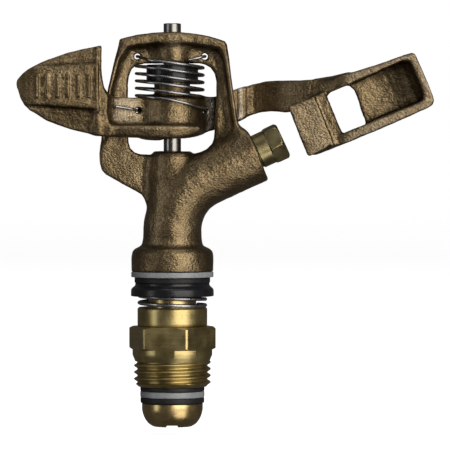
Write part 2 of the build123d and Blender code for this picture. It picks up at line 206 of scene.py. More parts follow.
def softened(profile, radius, steps=4):
    """An (r, z) outline with each corner rounded. A corner can give its own radius as a third number."""
    out = []
    count = len(profile)
    for i, corner in enumerate(profile):
        here = Vector(corner[:2])
        before, after = Vector(profile[i - 1][:2]), Vector(profile[(i + 1) % count][:2])
        reach = corner[2] if len(corner) > 2 else radius
        reach = min(reach, (before - here).length * 0.45, (after - here).length * 0.45)
        p, q = here + (before - here).normalized() * reach, here + (after - here).normalized() * reach
        for k in range(steps + 1):
            t = k / steps
            out.append(tuple((1 - t) ** 2 * p + 2 * t * (1 - t) * here + t * t * q))
    return out


def turned(name, profile, radius=0.15, around=128):
    """A ring or shaft swept round the Z axis from a closed (r, z) outline in millimetres."""
    angles = np.linspace(0, 2 * pi, around, endpoint=False)
    rings = []
    for r, z in softened(profile, radius):
        rings.append([Vector((r * cos(a), r * sin(a), z)) * MM for a in angles])
    return new_object(name, grid_mesh(name, rings, closed=True))


def wire(name, points, radius, around=12, per=10):
    """A wire through points in millimetres, on a smooth curve."""
    curve = bpy.data.curves.new(name, "CURVE")
    curve.dimensions = "3D"
    spline = curve.splines.new("BEZIER")
    spline.bezier_points.add(len(points) - 1)
    for knot, p in zip(spline.bezier_points, points):
        knot.co = Vector(p) * MM
        knot.handle_left_type = knot.handle_right_type = "AUTO"
    spline.resolution_u = per
    curve.bevel_depth = radius * MM
    curve.bevel_resolution = 3
    curve.use_fill_caps = True
    source = bpy.data.objects.new(name + "_path", curve)
    bpy.context.scene.collection.objects.link(source)
    bpy.context.view_layer.update()
    mesh = bpy.data.meshes.new_from_object(source.evaluated_get(bpy.context.evaluated_depsgraph_get()))
    bpy.data.objects.remove(source)
    bpy.data.curves.remove(curve)
    mesh.name = name
    mesh.materials.clear()
    return new_object(name, mesh)


# ---------------------------------------------------------------- materials


class Nodes:
    """Shorthand for building a material's nodes."""

    def __init__(self, name):
        self.material = bpy.data.materials.new(name)
        self.material.use_nodes = True
        self.tree = self.material.node_tree
        self.shader = self.tree.nodes["Principled BSDF"]
        self.place = self.tree.nodes.new("ShaderNodeTexCoord").outputs["Object"]

    def link(self, output, node, socket):
        self.tree.links.new(output, node.inputs[socket])

    def noise(self, scale, detail=3.0, rough=0.55, stretch=None):
        node = self.tree.nodes.new("ShaderNodeTexNoise")
        node.inputs["Scale"].default_value = scale
        node.inputs["Detail"].default_value = detail
        node.inputs["Roughness"].default_value = rough
        place = self.place
        if stretch:
            mapping = self.tree.nodes.new("ShaderNodeMapping")
            mapping.inputs["Scale"].default_value = stretch
            self.link(place, mapping, "Vector")
            place = mapping.outputs[0]
        self.link(place, node, "Vector")
        return node.outputs[0]

    def ramp(self, source, stops):
        node = self.tree.nodes.new("ShaderNodeValToRGB")
        ramp = node.color_ramp
        while len(ramp.elements) < len(stops):
            ramp.elements.new(0.5)
        for element, (at, colour) in zip(ramp.elements, stops):
            element.position = at
            element.color = (*colour, 1) if isinstance(colour, tuple) else (colour, colour, colour, 1)
        self.link(source, node, "Fac")
        return node.outputs[0]

    def mix(self, a, b, factor, mode="MIX"):
        node = self.tree.nodes.new("ShaderNodeMix")
        node.data_type, node.blend_type = "RGBA", mode
        for value, index in ((factor, 0), (a, 6), (b, 7)):
            if isinstance(value, (int, float)):
                node.inputs[index].default_value = value
            elif isinstance(value, tuple):
                node.inputs[index].default_value = (*value, 1)
            else:
                self.tree.links.new(value, node.inputs[index])
        return node.outputs[2]

    def attribute(self, name):
        node = self.tree.nodes.new("ShaderNodeAttribute")
        node.attribute_name = name
        return node.outputs["Fac"]

    def bump(self, heights):
        """Bumps from (height output, strength, depth in millimetres), one on another."""
        normal = None
        for height, strength, depth in heights:
            node = self.tree.nodes.new("ShaderNodeBump")
            node.inputs["Strength"].default_value = strength
            node.inputs["Distance"].default_value = depth * MM
            self.link(height, node, "Height")
            if normal:
                self.link(normal, node, "Normal")
            normal = node.outputs[0]
        self.link(normal, self.shader, "Normal")

    def finish(self, colour, rough, metallic=0.0, **sockets):
        for value, socket in ((colour, "Base Color"), (rough, "Roughness")):
            if isinstance(value, (int, float)):
                self.shader.inputs[socket].default_value = value
            else:
                self.link(value, self.shader, socket)
        self.shader.inputs["Metallic"].default_value = metallic
        for socket, value in sockets.items():
            self.shader.inputs[socket.replace("_", " ")].default_value = value
        return self.material


def bronze_material():
    n = Nodes("cast_bronze_skin")
    grain = n.noise(1850, 1.4, 0.5, stretch=(0.85, 1.0, 1.2))
    fleck = n.noise(3200, 2, 0.5)
    patch = n.noise(130, 3, 0.5)
    base = n.ramp(patch, [
        (0.3, (0.162, 0.115, 0.059)), (0.5, (0.212, 0.156, 0.086)), (0.72, (0.262, 0.198, 0.114))])
    grained = n.mix(base, n.ramp(grain, [(0.36, 0.64), (0.50, 0.94), (0.62, 1.0)]), 0.9, "MULTIPLY")
    # the arm's lighter places: worn bright metal, and painted light on the plate right of the hub
    wear_and_light = n.attribute("wear_and_light")
    lighter_tone = n.ramp(n.noise(900, 4, 0.7), [(0.35, (0.20, 0.175, 0.135)), (0.6, (0.36, 0.325, 0.27))])
    colour = n.mix(grained, lighter_tone, wear_and_light)
    # painted shade in hollows and where the arm lowers its edge value; the colour is darker on sharp ridges
    # too
    shade = n.ramp(n.attribute("edge"), [
        (0.10, (0.15, 0.135, 0.125)), (0.42, 0.70), (0.51, 1.0), (0.60, 0.76)])
    colour = n.mix(colour, shade, 1.0, "MULTIPLY")
    rough = n.ramp(fleck, [(0.3, 0.30), (0.7, 0.52)])
    n.bump([(patch, 0.16, 0.3), (grain, 0.85, 0.19), (fleck, 0.4, 0.04)])
    return n.finish(colour, rough, 1.0)


def brass_material(name, low, high, rough_low, rough_high, ring=2600.0):
    """Turned brass, with the fine rings of the tool round the Z axis."""
    n = Nodes(name)
    rings = n.noise(1.0, 2, 0.6, stretch=(60, 60, ring))
    cloud = n.noise(240, 3, 0.55)
    spots = n.noise(1500, 3, 0.6)
    base = n.ramp(cloud, [(0.32, low), (0.68, high)])
    colour = n.mix(base, n.ramp(rings, [(0.3, 0.78), (0.65, 1.0)]), 0.6, "MULTIPLY")
    stain = n.ramp(spots, [(0.30, (0.25, 0.16, 0.07)), (0.40, (1.0, 1.0, 1.0))])
    colour = n.mix(colour, stain, 0.5, "MULTIPLY")
    rough = n.ramp(cloud, [(0.3, rough_low), (0.7, rough_high)])
    n.bump([(rings, 0.3, 0.04), (spots, 0.15, 0.03)])
    return n.finish(colour, rough, 1.0)


def steel_material(name, base, rough_low, rough_high):
    n = Nodes(name)
    draw = n.noise(1.0, 2, 0.5, stretch=(900, 900, 250))
    colour = n.ramp(n.noise(500, 3, 0.6), [(0.3, tuple(0.82 * v for v in base)), (0.7, base)])
    n.bump([(draw, 0.2, 0.02)])
    return n.finish(colour, n.ramp(draw, [(0.3, rough_low), (0.7, rough_high)]), 1.0)


def plain_material(name, low, high, rough_low, rough_high, scale=700, **sockets):
    """Rubber and plastics: fine mottle, a moulded grain and slightly uneven gloss."""
    n = Nodes(name)
    mottle, grain = n.noise(scale, 4, 0.6), n.noise(4200, 2, 0.5)
    n.bump([(grain, 0.3, 0.03), (mottle, 0.2, 0.05)])
    colour = n.ramp(mottle, [(0.3, low), (0.7, high)])
    return n.finish(colour, n.ramp(grain, [(0.3, rough_low), (0.7, rough_high)]), 0.0, **sockets)


bronze = bronze_material()
brass = brass_material("turned_brass_skin", (0.34, 0.265, 0.11), (0.46, 0.37, 0.17), 0.28, 0.40)
brass_bright = brass_material("turned_brass_bright", (0.40, 0.29, 0.125), (0.53, 0.40, 0.19), 0.24, 0.36)
brass_nozzle = brass_material(
    "turned_brass_nozzle", (0.225, 0.185, 0.09), (0.30, 0.255, 0.13), 0.26, 0.38, ring=500)
steel = steel_material("bright_steel", (0.225, 0.22, 0.207), 0.20, 0.32)
spring_steel = steel_material("spring_steel", (0.25, 0.25, 0.255), 0.20, 0.32)
press_steel = steel_material("press_spring_steel", (0.36, 0.36, 0.37), 0.24, 0.38)
rubber = plain_material(
    "black_rubber_skin", (0.006, 0.006, 0.007), (0.013, 0.0125, 0.013), 0.42, 0.62, Specular_IOR_Level=0.25)
plastic = plain_material(
    "black_plastic_skin", (0.005, 0.005, 0.006), (0.010, 0.010, 0.012), 0.22, 0.34, Specular_IOR_Level=0.3)
nylon = plain_material("pale_nylon_skin", (0.17, 0.18, 0.19), (0.23, 0.24, 0.255), 0.38, 0.52)

# ---------------------------------------------------------------- the body casting

JET = radians(25)
JET_X, JET_Z = cos(JET), sin(JET)
COLLAR_LOW = 31.3
BEND_X, BEND_START = 15.4, 43.1  # the bend's centre; BEND_X is its radius too
STRAIGHT = (8.89, 57.06)
BARREL_END = (23.2, 63.73)
BARREL_R = 7.9
WATER_R, TUBE_SOCKET_R, NOZZLE_SOCKET_R = 4.0, 6.55, 4.45
WEB_HALF, RIM_HALF, BOSS_R = 1.6, 4.1, 4.6
YOKE_HOOKS, YOKE_HOOK_Z, YOKE_HOOK_R = (-9.5, 8.8), 89.8, 0.85


def casting_shape():
    f = Field((-21.6, -12.2, 30.6), (26.8, 12.2, 97.4), 0.33)
    x, y, z = f.x, f.y, f.z
    radius = np.hypot(x, y)
    # centre line of the barrel: up, round, and out at the jet's angle
    upright = np.hypot(x, z - np.clip(z, COLLAR_LOW, BEND_START))
    turn = np.arctan2(z - BEND_START, BEND_X - x)
    on_bend = (turn > 0) & (turn < radians(65))
    arc = np.where(on_bend, np.abs(np.hypot(x - BEND_X, z - BEND_START) - BEND_X), 99)
    along = np.clip((x - STRAIGHT[0]) * JET_X + (z - STRAIGHT[1]) * JET_Z, 0, 30)
    straight = np.hypot(x - STRAIGHT[0] - along * JET_X, z - STRAIGHT[1] - along * JET_Z)
    centre = np.minimum(np.minimum(upright, arc), straight)
    taper = 0.4 * soft_step(z, 40.5, 49.0) * soft_step(-x, -3.0, 4.0) - 0.1
    barrel = np.hypot(centre, y) - BARREL_R + taper
    end = (x - BARREL_END[0]) * JET_X + (z - BARREL_END[1]) * JET_Z
    above = -(x - BARREL_END[0]) * JET_Z + (z - BARREL_END[1]) * JET_X
    barrel = meet(barrel, end + 0.065 * np.maximum(-above, 0), 0.7)
    barrel = meet(barrel, (above - 6.6) * 0.8 + end * 0.6, 1.6)
    barrel = meet(barrel, COLLAR_LOW - z, 0.2)
    collar = polygon(radius, z, [
        (0, COLLAR_LOW), (11.1, COLLAR_LOW), (11.15, 31.4), (11.15, 35.5), (10.95, 36.7), (10.25, 37.5),
        (9.2, 38.0), (8.2, 38.5), (7.6, 39.6), (0, 39.6)])
    foot = polygon(radius, z, [(0, 48), (5.4, 48), (6.1, 53), (6.3, 57), (5.4, 63.5), (4.9, 64.0), (0, 64.0)])
    casting = join(join(barrel, collar, 1.0), foot, 2.0)
    # the yoke: a thin web with a flange round its outside
    outline = polygon(x, z, [
        (-14.2, 94.5), (-10, 95.5), (-5, 96.2), (0, 96.45), (5, 96.15), (10, 95.25), (14.3, 93.9),
        (14.9, 93.1), (16.4, 81.8), (17.9, 71.5), (19.0, 69.0), (20.5, 66.5), (14, 55), (4, 48),
        (-7.0, 50.6), (-8.4, 52.2), (-18.1, 57.5), (-19.3, 58.8), (-19.85, 60.8), (-19.9, 63.5),
        (-19.3, 67.6), (-17.5, 81.0)])
    web = slab(outline, y, -WEB_HALF, WEB_HALF, 0.6)
    crown = soft_step(z, 87.5, 93.5)
    flange = np.maximum(outline, -(outline + 1.15 + 1.85 * crown))
    flange = meet(flange, np.where(x < 0, 66.5, 60.0) - z, 1.5)
    flange = slab(flange, y / (1 + 0.30 * crown), -RIM_HALF, RIM_HALF, 0.8)
    yoke = meet(join(web, flange, 3.2), outline, 0.5)
    yoke = join(yoke, slab(radius - BOSS_R, z, 84.0, 94.6, 0.5), 2.0)
    casting = join(casting, yoke, 2.6)
    window = polygon(x, z, [
        (-12.1, 82.3), (-11.8, 84.4), (-11.0, 86.4), (-9.7, 87.5), (-7.6, 87.9), (7.4, 87.9), (9.0, 87.5),
        (10.4, 86.7), (11.5, 85.2), (12.0, 83.0), (12.05, 79.0), (11.3, 67.6), (10.8, 66.1), (9.3, 64.6),
        (7.6, 63.8), (5.4, 63.3), (2.0, 62.9), (-4.0, 62.9), (-7.0, 63.2), (-8.9, 63.3), (-10.4, 63.8),
        (-11.5, 64.8), (-11.95, 66.5), (-12.2, 75.0)])
    casting = cut(casting, window, 0.9)
    casting = join(casting, foot, 1.0)
    for hook_x in YOKE_HOOKS:
        casting = cut(casting, np.hypot(x - hook_x, z - YOKE_HOOK_Z) - YOKE_HOOK_R, 0.3)
    casting = casting + unevenness(f, 0.05, 7.0) + unevenness(f, 0.03, 2.2)
    # machined places: the collar's underside, the water passage and the nozzle's socket
    casting = np.maximum(casting, COLLAR_LOW - z)
    casting = cut(casting, slab(radius - TUBE_SOCKET_R, z, 20, 41.4, 0.1), 0.2)
    casting = cut(casting, np.hypot(centre, y) - WATER_R, 0.4)
    casting = cut(casting, np.maximum(np.hypot(straight, y) - NOZZLE_SOCKET_R, -(end + 7.3)), 0.2)
    return f, casting


body_piece = field_mesh("body_casting", *casting_shape())
dress(body_piece, bronze, "cast_bronze", "head", "sprinkler_body")

# ---------------------------------------------------------------- the arm casting

TURN = radians(21)  # the hub plate's turn about the fulcrum
PITCH = radians(22.6)  # the spoon's rise
SPOON_CORNER, SPOON_FRONT, VANE_FRONT = (37.3, 62.5), -5.25, -6.15
PLATE_HALF = 1.35
HUB_R, HUB_BORE_R, HUB_TOP = 7.7, 3.6, 85.6
PLATE_HOOKS, PLATE_HOOK_Z, PLATE_HOOK_R = (-10.2, 8.9), 75.1, 0.8
NOSE_GROOVES = ((87.85, 0.06), (75.35, -0.07))  # each one's height at x = -28, and its slope
BARS, BAR_X, BAR_SPACING, BAR_HALF, BAR_Z = 6, -36.27, 2.79, 0.42, 81.6
EYE_DISTANCE, EYE_X, EYE_Z = 1000, 14.3, 44.0  # the camera's distance, and the point it looks at


def set_back(points, y):
    """Takes an outline, drawn as it looks from the front, back or forward to where it sits in depth."""
    shrink = 1 + y / EYE_DISTANCE
    return [(EYE_X + (px - EYE_X) * shrink, EYE_Z + (pz - EYE_Z) * shrink) for px, pz in points]


def arm_shape():
    f = Field((-43.4, -12.0, 61.6), (71.9, 10.4, 93.6), 0.31)
    x, y, z = f.x, f.y, f.z
    radius = np.hypot(x, y)
    across = -x * sin(TURN) + y * cos(TURN)

    def faceted(shape, front):
        """Slopes the nose's face back above and below its middle band."""
        shape = meet(shape, (z - 88.0) * 0.34 - (y + front) * 0.94, 0.3)
        return meet(shape, (75.4 - z) * 0.18 - (y + front) * 0.983, 0.3)

    # counterweight nose: a slab with a raised middle band
    nose_outline = [
        (-19.3, 93.0), (-24.9, 91.9), (-30.0, 90.5), (-34.1, 89.1), (-36.8, 87.8), (-39.3, 86.4),
        (-40.9, 85.1), (-42.1, 83.7), (-42.4, 82.6), (-42.1, 81.0), (-41.7, 79.6), (-41.2, 78.3),
        (-40.4, 76.9), (-39.0, 75.5), (-36.8, 74.2), (-34.6, 72.8), (-31.7, 71.5), (-27.6, 70.1),
        (-21.3, 68.7), (-17.6, 68.4), (-17.9, 74.5), (-17.4, 79.0), (-18.5, 81.3), (-19.1, 84.0),
        (-19.35, 87.0)]
    side = polygon(x, z, set_back(nose_outline, -8.5))
    back = -5.0 + 0.02 * (x + 19) - y
    nose = slab(side, y, -10.5, -3.0, 0.45)
    nose = faceted(meet(nose, -back, 0.8), 10.15)
    band = polygon(x, z, set_back([
        (-44.5, 86.0), (-41.0, 86.3), (-37.4, 86.8), (-30.6, 87.45), (-20.1, 88.15), (-20.1, 74.9),
        (-30.0, 75.5), (-39.0, 76.3), (-44.5, 76.6)], -11))
    band = slab(np.maximum(band, side + 0.1), y, -11.0, -8.0, 0.25)
    nose = join(nose, band, 0.2)
    nose = meet(nose, (-36.5 - x) * 0.20 - (y + 11.0) * 0.98, 0.8)
    for height, slope in NOSE_GROOVES:
        groove = np.hypot(z - height - slope * (x + 28), y + 10.8) - 0.7
        nose = cut(nose, np.maximum(groove, x + 19.9), 0.2)
    edge_rib = slab(np.maximum(np.abs(x + 20.2) - 0.35, side + 0.3), y, -11.2, -8.6, 0.3)
    nose = join(nose, faceted(edge_rib, 10.5), 0.4)
    # plain upright bars in place of any lettering
    for bar in range(BARS):
        width = np.abs(x - BAR_X - BAR_SPACING * bar) - BAR_HALF
        bar_face = slab(np.maximum(width, np.abs(z - BAR_Z) - 3.1), y, -11.42, -10.0, 0.15)
        nose = join(nose, bar_face, 0.15)
    # hub plate, hub and its neck
    plate_side = polygon(x, z, [
        (-19.2, 78.7), (-16.4, 78.5), (0.0, 78.6), (11.4, 78.9), (14.0, 79.4), (16.7, 80.5), (20.0, 81.6),
        (21.5, 82.1), (21.5, 74.2), (18.0, 72.4), (14.0, 70.9), (11.1, 69.8), (3.5, 67.9), (-2.5, 67.4),
        (-12.3, 68.0), (-20.0, 68.5)])
    plate = slab(np.maximum(plate_side, np.abs(x) - 19.6), across, -PLATE_HALF, PLATE_HALF, 0.3)
    hub = slab(radius - HUB_R, z, 68.2, 78.7, 0.8)
    arm = join(plate, hub, 3.4)
    # shelf along the bottom, from the nose round the front of the hub
    shelf = polygon(x, y, [
        (-22.0, -9.3), (-17.0, -10.0), (-12.0, -10.5), (-5.0, -10.7), (0.0, -10.3), (4.5, -9.2), (7.9, -7.4),
        (7.9, -0.5), (-5.0, -4.0), (-22.0, -7.0)])
    shelf = slab(meet(shelf, (shelf + (70.0 - z) * 0.64) * 0.84, 1.6), z, 60.0, 71.0, 1.0)
    shelf = meet(shelf, plate_side, 0.8)
    arm = join(arm, shelf, 2.0)
    arm = join(arm, nose, 3.2)
    underside = polygon(x, z, set_back([
        (-46.0, 96.0), (-46.0, 82.3), (-42.1, 81.0), (-41.6, 79.0), (-40.2, 76.6), (-38.9, 75.25),
        (-36.2, 73.5), (-33.4, 71.95), (-30.7, 70.85), (-26.6, 69.6), (-21.2, 68.5), (-12.0, 67.5),
        (-7.0, 67.0), (-3.8, 66.9), (1.1, 67.5), (6.0, 68.1), (11.0, 69.5), (14.0, 70.7), (18.0, 72.3),
        (30.0, 96.0)], -9.0))
    arm = np.where(x < 16, meet(arm, underside, 0.5), arm)
    arm = join(arm, slab(radius - 4.85, z, 76.0, HUB_TOP, 0.3), 1.0)
    # strip out to the spoon
    plan = line(x, y, [
        (14.0, 5.37), (18.2, 6.98), (20.3, 7.55), (22.4, 7.6), (25.0, 6.9), (28.5, 5.4), (33.0, 3.2),
        (37.0, 1.6), (41.0, 0.9), (47.0, 0.8)]) - PLATE_HALF
    strip_side = polygon(x, z, [
        (16.0, 80.3), (18.5, 81.2), (21.7, 82.3), (25.5, 83.1), (29.0, 83.4), (34.8, 83.3), (39.0, 83.6),
        (43.6, 84.3), (48.0, 85.3), (49.0, 82.4), (44.0, 81.6), (41.0, 79.8), (38.5, 76.5), (34.0, 75.0),
        (31.6, 74.7), (30.7, 74.6), (28.8, 74.85), (26.9, 74.95), (24.5, 74.75), (21.7, 73.95),
        (18.0, 72.25), (16.0, 71.6)])
    arm = join(arm, meet(plan, strip_side, 0.7), 0.9)
    for ridge_x in (17.3, 19.7):
        front = ridge_x * np.tan(TURN) - PLATE_HALF / cos(TURN)
        ridge = np.hypot(x - ridge_x, y - front) - 0.5
        arm = join(arm, meet(ridge, strip_side + 0.2, 0.3), 0.4)
    # spoon: u along it, w up it
    u = (x - SPOON_CORNER[0]) * cos(PITCH) + (z - SPOON_CORNER[1]) * sin(PITCH)
    w = -(x - SPOON_CORNER[0]) * sin(PITCH) + (z - SPOON_CORNER[1]) * cos(PITCH)
    spoon_side = polygon(x, z, [
        (36.6, 63.1), (37.4, 62.5), (44.8, 65.4), (55.3, 69.8), (63.0, 73.1), (69.2, 75.95), (70.5, 76.8),
        (70.8, 77.9), (69.8, 81.4), (67.9, 85.7), (66.1, 89.9), (65.7, 90.5), (65.0, 90.6), (60.0, 88.9),
        (55.3, 87.2), (50.0, 85.6), (43.6, 84.1), (39.2, 83.4), (38.2, 78.9), (31.3, 76.2)])
    spoon_plan = polygon(u, y, [
        (-0.8, 1.2), (-0.8, SPOON_FRONT), (37.3, SPOON_FRONT), (37.3, -3.0), (36.3, 0.2), (34.2, 2.6),
        (31.3, 4.2), (27.5, 4.9), (17.0, 4.9), (6.0, 2.6)])
    spoon = meet(spoon_side - 0.17, spoon_plan, 0.7)
    # its upper rim falls back to the strip
    spoon = meet(spoon, (45.0 - x) * 0.60 - (y - SPOON_FRONT) * 0.80, 2.0)
    room = polygon(u, w, [
        (8.4, 3.6), (33.5, 3.6), (34.2, 4.6), (34.0, 12.6), (32.8, 13.2), (10.5, 12.8)]) - 1.2
    room_plan = polygon(u, y, [
        (7.5, -9.0), (35.6, -9.0), (35.2, -4.6), (34.6, -1.6), (33.0, 0.7), (30.6, 2.3), (27.8, 3.0),
        (24.0, 3.3), (17.9, 3.4), (10.9, 3.0), (10.4, -3.2), (7.4, -5.2)])
    spoon = cut(spoon, meet(room, room_plan, 0.9), 0.6)
    opening = polygon(x, z, [
        (46.3, 81.9), (48.3, 81.75), (49.4, 80.8), (50.2, 79.2), (50.8, 77.5), (51.3, 75.6), (52.1, 73.4),
        (52.6, 71.9), (52.2, 71.1), (49.8, 70.1), (47.9, 69.3), (46.5, 69.1), (45.5, 69.6), (44.8, 70.9),
        (44.2, 73.0), (43.5, 75.0), (42.5, 77.5), (42.6, 79.0), (43.9, 80.8)])
    spoon = cut(spoon, np.maximum(opening - 0.15, -0.5 - y), 0.5)
    behind = polygon(u, y, [(-3.0, 9.0), (-3.0, -3.3), (0.0, -3.3), (10.0, 1.0), (10.7, 9.0)])
    spoon = cut(spoon, meet(behind, np.abs(w - 8.3) - 5.7, 0.5), 0.4)
    vane_side = polygon(x, z, [(31.3, 76.2), (37.9, 78.95), (43.75, 66.0), (37.4, 62.45), (36.5, 63.1)])
    vane_plan = polygon(u, y, [
        (-0.8, VANE_FRONT), (7.2, VANE_FRONT), (7.6, -5.2), (10.4, -3.2), (10.8, 1.2), (10.1, 1.4),
        (-0.8, -3.3)])
    vane = meet(vane_side + 0.12 + np.where(u > 6.5, -4.0, 0.0), vane_plan, 0.3)
    vane = meet(vane, np.maximum(w - 14.8, 0.2 - w), 0.4)
    spoon = join(spoon, vane, 0.5)
    spoon = cut(spoon, meet(np.hypot(u - 7.75, y + 5.35) - 0.42, w - 14.0, 0.3), 0.15)
    arm = join(arm, spoon, 1.1)
    arm = arm + unevenness(f, 0.045, 6.0) + unevenness(f, 0.035, 2.0)
    # fulcrum bore and hook holes
    arm = cut(arm, radius - HUB_BORE_R, 0.2)
    along = x * cos(TURN) + y * sin(TURN)
    for hook_x in PLATE_HOOKS:
        hole = np.maximum(np.hypot(along - hook_x, z - PLATE_HOOK_Z) - PLATE_HOOK_R, np.abs(across) - 4.0)
        arm = cut(arm, hole, 0.25)
    arm = np.maximum(arm, np.where(radius < HUB_R, z - HUB_TOP, -5))
    return f, arm


arm_piece = field_mesh("arm_casting", *arm_shape())
dress(arm_piece, bronze, "cast_bronze", "arm", "impact_arm")


def mark_wear_light_and_shade(piece):
    """Marks the arm's lighter places in a new point attribute: worn bright metal left and right of the hub,
    brightened as painted light on the right where the yoke's leg shades it, and the spoon's and vane's front
    faces a little lighter. Lowers its "edge" a little over the pocket left of the hub, and more, as painted
    shade, along the nose's two grooves and deep in the spoon's bucket.
    """
    mesh = piece.data
    place = np.empty(len(mesh.vertices) * 3)
    mesh.vertices.foreach_get("co", place)
    x, y, z = (place.reshape(-1, 3) * 1000).T
    across = -x * sin(TURN) + y * cos(TURN)
    near_face = soft_step(-across, 0.9, 1.2) * soft_step(across, -1.75, -1.5)
    left = soft_step(x, -18.5, -15.8) * soft_step(-x, 6.8, 11.6) * soft_step(z, 71.2, 72.9)
    # worn bright metal on the plate right of the hub, marked at full strength as painted light where the
    # yoke's leg shades it
    right = soft_step(x, 8.6, 9.4) * soft_step(-x, -19.4, -19.0)
    mask = near_face * (0.30 * left + right)
    spoon_front = soft_step(x, 43.0, 45.0) * soft_step(-y, 4.9, 5.15) * 0.18
    vane_front = soft_step(x, 31.0, 32.0) * soft_step(-y, 5.8, 6.05) * 0.12
    edge = np.empty(len(x), np.float32)
    mesh.attributes["edge"].data.foreach_get("value", edge)
    edge -= (0.05 * near_face * left).astype(np.float32)
    # painted shade: dark lines along the nose's two grooves
    for height, slope in NOSE_GROOVES:
        off = np.abs(z - height - slope * (x + 28))
        groove_shade = 0.16 * soft_step(-off, -0.9, -0.3) * soft_step(-x, 19.8, 20.2) * soft_step(-y, 8.5, 9.0)
        edge -= groove_shade.astype(np.float32)
    # painted shade: darker deeper inside the spoon's bucket
    edge -= (0.17 * soft_step(y, -4.4, 1.5) * soft_step(x, 44.0, 48.0)).astype(np.float32)
    mesh.attributes["edge"].data.foreach_set("value", edge)
    layer = mesh.attributes.new("wear_and_light", "FLOAT", "POINT")
    layer.data.foreach_set("value", np.clip(mask + spoon_front + vane_front, 0, 1).astype(np.float32))


mark_wear_light_and_shade(arm_piece)
body_piece.data.attributes.new("wear_and_light", "FLOAT", "POINT")

# ---------------------------------------------------------------- bearing nut

THREAD_R, THREAD_PITCH, THREAD_DEPTH, THREAD_TOP = 10.4775, 1.814, 0.95, 6.94
NUT_BORE_R = 6.56
HEX_HALF, HEX_CORNER_R, HEX_TURN = 10.5, 11.95, radians(10)
HEX_LOW, HEX_HIGH, NUT_TOP = 10.2, 16.4, 21.6


def nut_radius(angle, z):
    """How far the nut reaches at an angle and height: thread, neck, hexagon and collar."""
    flat = HEX_HALF / cos((angle + HEX_TURN) % (pi / 3) - pi / 6)
    if z < THREAD_TOP:
        phase = ((z - 0.27) / THREAD_PITCH - angle / (2 * pi)) % 1
        wave = 0.5 - 0.5 * cos(2 * pi * phase)
        depth = THREAD_DEPTH * (1 - wave) * min(1.0, max(0.0, (7.6 - z) / 1.0))
        return min(THREAD_R - depth, 9.25 + 1.1 * z)
    if z < HEX_LOW:
        return min(10.88, 10.2 + 0.4 * (z - 7.0), flat + 0.08)
    if z < HEX_HIGH:
        lower = 11.15 + 2.4 * (z - HEX_LOW)
        upper = 11.1 + 1.7 * (HEX_HIGH - z)
        return min(flat, HEX_CORNER_R, lower, upper)
    neck = 9.5 - 0.25 * max(0.0, 0.3 - (z - HEX_HIGH)) / 0.3
    return min(neck, 9.1 + 1.2 * (NUT_TOP - z))


def nut_mesh():
    heights = list(np.arange(0, THREAD_TOP, 0.11))
    heights += [6.93, 6.95, 7.1, 7.4, 8.0, 8.6, 9.2, 9.8, 10.1, 10.19, 10.21, 10.3, 10.45, 10.6, 10.9, 11.5]
    heights += [12.2, 13.0, 13.8, 14.6, 15.2, 15.4, 15.6, 15.8, 15.95, 16.1, 16.25, 16.39, 16.41, 16.6, 16.8]
    heights += [17.5, 18.5, 19.5, 20.5, 21.0, 21.2, 21.4, NUT_TOP]
    angles = np.linspace(0, 2 * pi, 396, endpoint=False)
    rings = []
    for z in heights:
        reach = [nut_radius(a, z) for a in angles]
        rings.append([(r * cos(a) * MM, r * sin(a) * MM, z * MM) for r, a in zip(reach, angles)])
    for z in (NUT_TOP, 11.0, 0.0):
        rings.append([(NUT_BORE_R * cos(a) * MM, NUT_BORE_R * sin(a) * MM, z * MM) for a in angles])
    return new_object("bearing_nut_turned", grid_mesh("bearing_nut_turned", rings, closed=True))


def sharp_by_angle(piece, degrees=38):
    piece.data.set_sharp_from_angle(angle=radians(degrees))
    return piece


dress(sharp_by_angle(nut_mesh()), brass, "turned_brass", "nut", "bearing_nut")

# ---------------------------------------------------------------- turned pieces on the axis

tube = turned("bearing_tube_turned", [
    (4.7, -10.9, 0.2), (5.2, -10.9, 0.3), (6.6, -10.1, 1.2), (7.75, -8.4, 1.4), (8.3, -6.4, 0.7),
    (8.3, -4.52, 0.25), (6.5, -4.52, 0.05), (6.5, 40.8), (4.7, 40.9)], 0.2)
for vertex in tube.data.vertices:
    if abs(vertex.co.x) < 1.6 * MM:  # wrench slot
        vertex.co.z = max(vertex.co.z, -10.35 * MM)
dress(sharp_by_angle(tube), brass_bright, "turned_brass", "head", "bearing_tube")

for name, low, high, outer, inner, soft, skin, slot_name, body, node in (
    ("seal_upper", -1.24, -0.01, 8.75, 6.6, 0.35, rubber, "black_rubber", "head", "seal_washer_upper"),
    ("slip_ring", -2.89, -1.26, 8.75, 6.6, 0.25, nylon, "nylon", "head", "slip_washer"),
    ("seal_lower", -4.49, -2.91, 8.7, 6.6, 0.4, rubber, "black_rubber", "head", "seal_washer_lower"),
    ("top_slip_ring", 29.81, 31.28, 11.2, 6.6, 0.25, nylon, "nylon", "head", "top_washer"),
    ("top_seal", 28.22, 29.77, 10.3, 6.65, 0.35, rubber, "black_rubber", "carrier", "top_rubber_washer"),
    ("spring_seat", 26.6, 26.9, 9.6, 6.8, 0.06, steel, "steel", "carrier", "spring_seat_ring"),
    ("hub_thrust_ring", 85.63, 86.37, 4.7, 2.46, 0.1, nylon, "nylon", "head", "arm_thrust_washer"),
    ("hub_bush_upper", 79.6, 85.6, 3.58, 2.43, 0.1, nylon, "nylon", "arm", "arm_bush_upper"),
    ("hub_bush_lower", 67.5, 73.5, 3.58, 2.43, 0.1, nylon, "nylon", "arm", "arm_bush_lower"),
):
    ring = turned(name, [(inner, low), (outer, low), (outer, high), (inner, high)], soft)
    dress(sharp_by_angle(ring), skin, slot_name, body, node)

